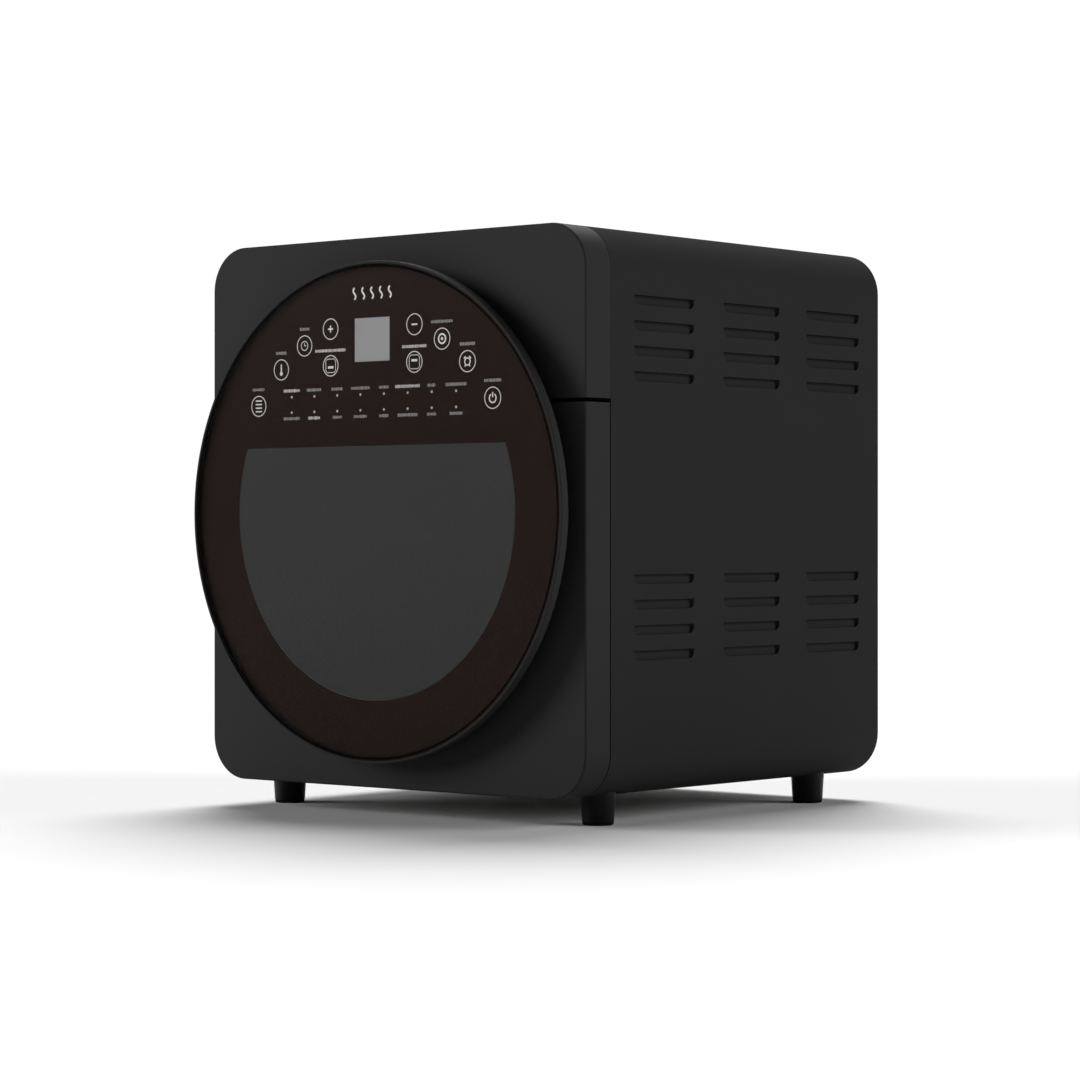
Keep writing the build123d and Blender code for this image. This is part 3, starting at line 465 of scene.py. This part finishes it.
def minus(m, x, z):
    m.bar(x, z, 4.8 * MM, 1.0 * MM)


def clock(m, x, z):
    m.ring(x, z, 2.9 * MM, LINE)
    m.bar(x, z + 0.75 * MM, LINE, 1.9 * MM)
    m.bar(x + 0.95 * MM, z, 1.1 * MM, LINE)


def thermometer(m, x, z):
    m.bar(x, z + 1.15 * MM, 1.0 * MM, 4.7 * MM)
    m.disc(x, z - 2.5 * MM, 1.3 * MM)


def lines(m, x, z):
    for i in range(4):
        m.bar(x, z + (i - 1.5) * 2.3 * MM, 5.6 * MM, 0.85 * MM)


def turning(m, x, z):
    m.ring(x, z, 2.9 * MM, 1.1 * MM)
    m.disc(x, z, 1.0 * MM)


def alarm(m, x, z):
    m.ring(x, z - 0.2 * MM, 2.2 * MM, 0.8 * MM)
    for x0, z0, x1, z1, width in ((2.9, 1.6, 1.4, 3.0, 0.9), (1.4, -2.2, 2.2, -3.2, 0.8)):
        for side in (-1, 1):
            ends = [(x + side * x0 * MM, z + z0 * MM), (x + side * x1 * MM, z + z1 * MM)]
            m.strip(ends, width * MM)


def power(m, x, z):
    m.ring(x, z - 0.2 * MM, 2.7 * MM, 0.9 * MM, 122, 296)
    m.bar(x, z + 1.9 * MM, 0.9 * MM, 3.2 * MM)


def oven(m, x, z, bar_z):
    """A box with cut corners and a bar for the heater in it."""
    corners = []
    for sx, sz in ((1, 1), (-1, 1), (-1, -1), (1, -1)):
        ends = [(sx * OVEN_HALF, sz * (OVEN_HALF - OVEN_CUT)), (sx * (OVEN_HALF - OVEN_CUT), sz * OVEN_HALF)]
        corners += ends if sx == sz else ends[::-1]
    m.strip([(x + cx, z + cz) for cx, cz in corners], OVEN_LINE, closed=True)
    m.bar(x, z + bar_z, 4.8 * MM, 1.5 * MM)


# ---------------------------------------------------------------- the panel
def key_ring_places(side):
    turns = [math.radians(a) for a in KEY_ANGLES]
    return [(side * KEY_RING_R * math.sin(a), KEY_RING_R * math.cos(a)) for a in turns]


def draw_keys(ink):
    """Ten touch keys: a thin ring round a plain pictogram."""
    left = (plus, clock, thermometer, lines)
    right = (minus, turning, alarm, power)
    for side, row in ((-1, left), (1, right)):
        for (x, z), symbol in zip(key_ring_places(side), row):
            marks = Marks("key_" + symbol.__name__, ink)
            marks.ring(x, z, KEY_R, LINE)
            symbol(marks, x, z)
            marks.done()
    for side, name in ((-1, "key_lower_heat"), (1, "key_upper_heat")):
        x, z = side * HEAT_KEY[0], HEAT_KEY[1]
        marks = Marks(name, ink)
        marks.ring(x, z, KEY_R, LINE)
        oven(marks, x, z, side * MM)
        marks.done()


def draw_labels(pale, bold):
    """Rows of plain strokes where the panel's printed words would be."""
    rng = random.Random(11)
    plain = Marks("panel_dashes", pale)
    strong = Marks("panel_dashes_bold", bold)

    def word(marks, x, z, width):
        """Upright strokes of mixed width and height, about as long as a word."""
        left = x - width / 2
        right = x + width / 2
        while left < right - STROKE_LEAST:
            stroke = min(rng.uniform(*STROKE_WIDTHS) * MM, right - left)
            height = rng.uniform(*STROKE_HEIGHTS) * MM
            marks.bar(left + stroke / 2, z, stroke, height)
            left += stroke + STROKE_GAP

    for row_z, widths, bold_places in WORD_ROWS:
        first = -WORD_PITCH * (len(widths) - 1) / 2
        for i, width in enumerate(widths):
            marks = strong if i in bold_places else plain
            word(marks, first + i * WORD_PITCH, row_z, width * WORD_SCALE * MM)
    for side, key_widths, heat_width in KEY_WORDS:
        for (x, z), width in zip(key_ring_places(side)[1:], key_widths):
            word(plain, x, z + KEY_LABEL_UP, width * MM)
        word(strong, side * HEAT_KEY[0], HEAT_KEY[1] + HEAT_LABEL_UP, heat_width * MM)
    plain.done()
    strong.done()


def draw_emblem(ink):
    """Plain heat waves over the display."""
    marks = Marks("heat_waves", ink)
    for i in range(-2, 3):
        middle = i * WAVE_PITCH
        points = []
        for step in range(WAVE_STEPS + 1):
            t = step / WAVE_STEPS
            points.append((middle + WAVE_SWING * math.sin(2 * math.pi * t), WAVE_LOW + WAVE_HEIGHT * t))
        marks.strip(points, WAVE_WIDTH)
    marks.done()


def draw_gap_shade_line():
    """A black ring round the front of the glass: painted shade standing in for the dark gap between the
    glass and the rim.
    """
    # painted shade: the ring's black stands in for the shaded gap by the rim
    ink = finish("gap_shade_ink", (0.002, 0.002, 0.002), rough=0.7, specular=0.01, grain=2000)
    front = GLASS_LOW[1] - INK_THICK - EDGE_GAP
    line = Marks("glass_gap_shade_line", ink, slot="print_black", front=front)
    line.ring(0, 0, GLASS_R - EDGE_INSET, EDGE_WIDTH, steps=EDGE_STEPS)
    line.done()


def add_window_tint():
    """A smoke-grey film inside the window opening of the print, flat along its top; its flat grey is partly
    painted light, standing in for the light seen in the window.
    """
    radius = WINDOW_R - FILM_INSET
    lift = math.asin((WINDOW_TOP - FILM_INSET) / radius)
    start = math.pi - lift
    sweep = math.pi + 2 * lift
    mesh = bmesh.new()
    front = []
    for i in range(FILM_STEPS + 1):
        a = start + sweep * i / FILM_STEPS
        front.append(mesh.verts.new((DISC.x + radius * math.cos(a), Y_PRINT, DISC.z + radius * math.sin(a))))
    mesh.faces.new(front)
    # partly painted light: the film's grey, lighter than the print, stands in for the light seen through the
    # window
    smoke = finish(
        "smoked_film_and_painted_light", (0.0495, 0.0495, 0.05), rough=0.6, specular=0.05, grain=1500, tint=0.03, alpha=0.93,
    )
    film = solid_piece(mesh, "window_tint", smoke, FILM_THICK)
    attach(film, "door")


def draw_panel():
    ink = finish("key_ink", (0.78, 0.75, 0.73), rough=0.55, specular=0.3, grain=3000, tint=0.08)
    pale = finish("word_ink", (0.36, 0.345, 0.335), rough=0.55, specular=0.3, grain=3000, tint=0.12)
    bright = finish("emblem_ink", (0.85, 0.84, 0.83), rough=0.5, specular=0.3, grain=3000, tint=0.06)
    draw_keys(ink)
    draw_labels(pale, ink)
    draw_emblem(bright)
    # the painted shade line round the glass, for the dark gap by the rim
    draw_gap_shade_line()


# ---------------------------------------------------------------- main
add_camera()
add_world()
add_floor()
for lamp in LAMPS:
    add_sun(*lamp)
dress_front()
dress_works()
add_window_tint()
draw_panel()
bpy.context.scene.view_settings.view_transform = "Standard"
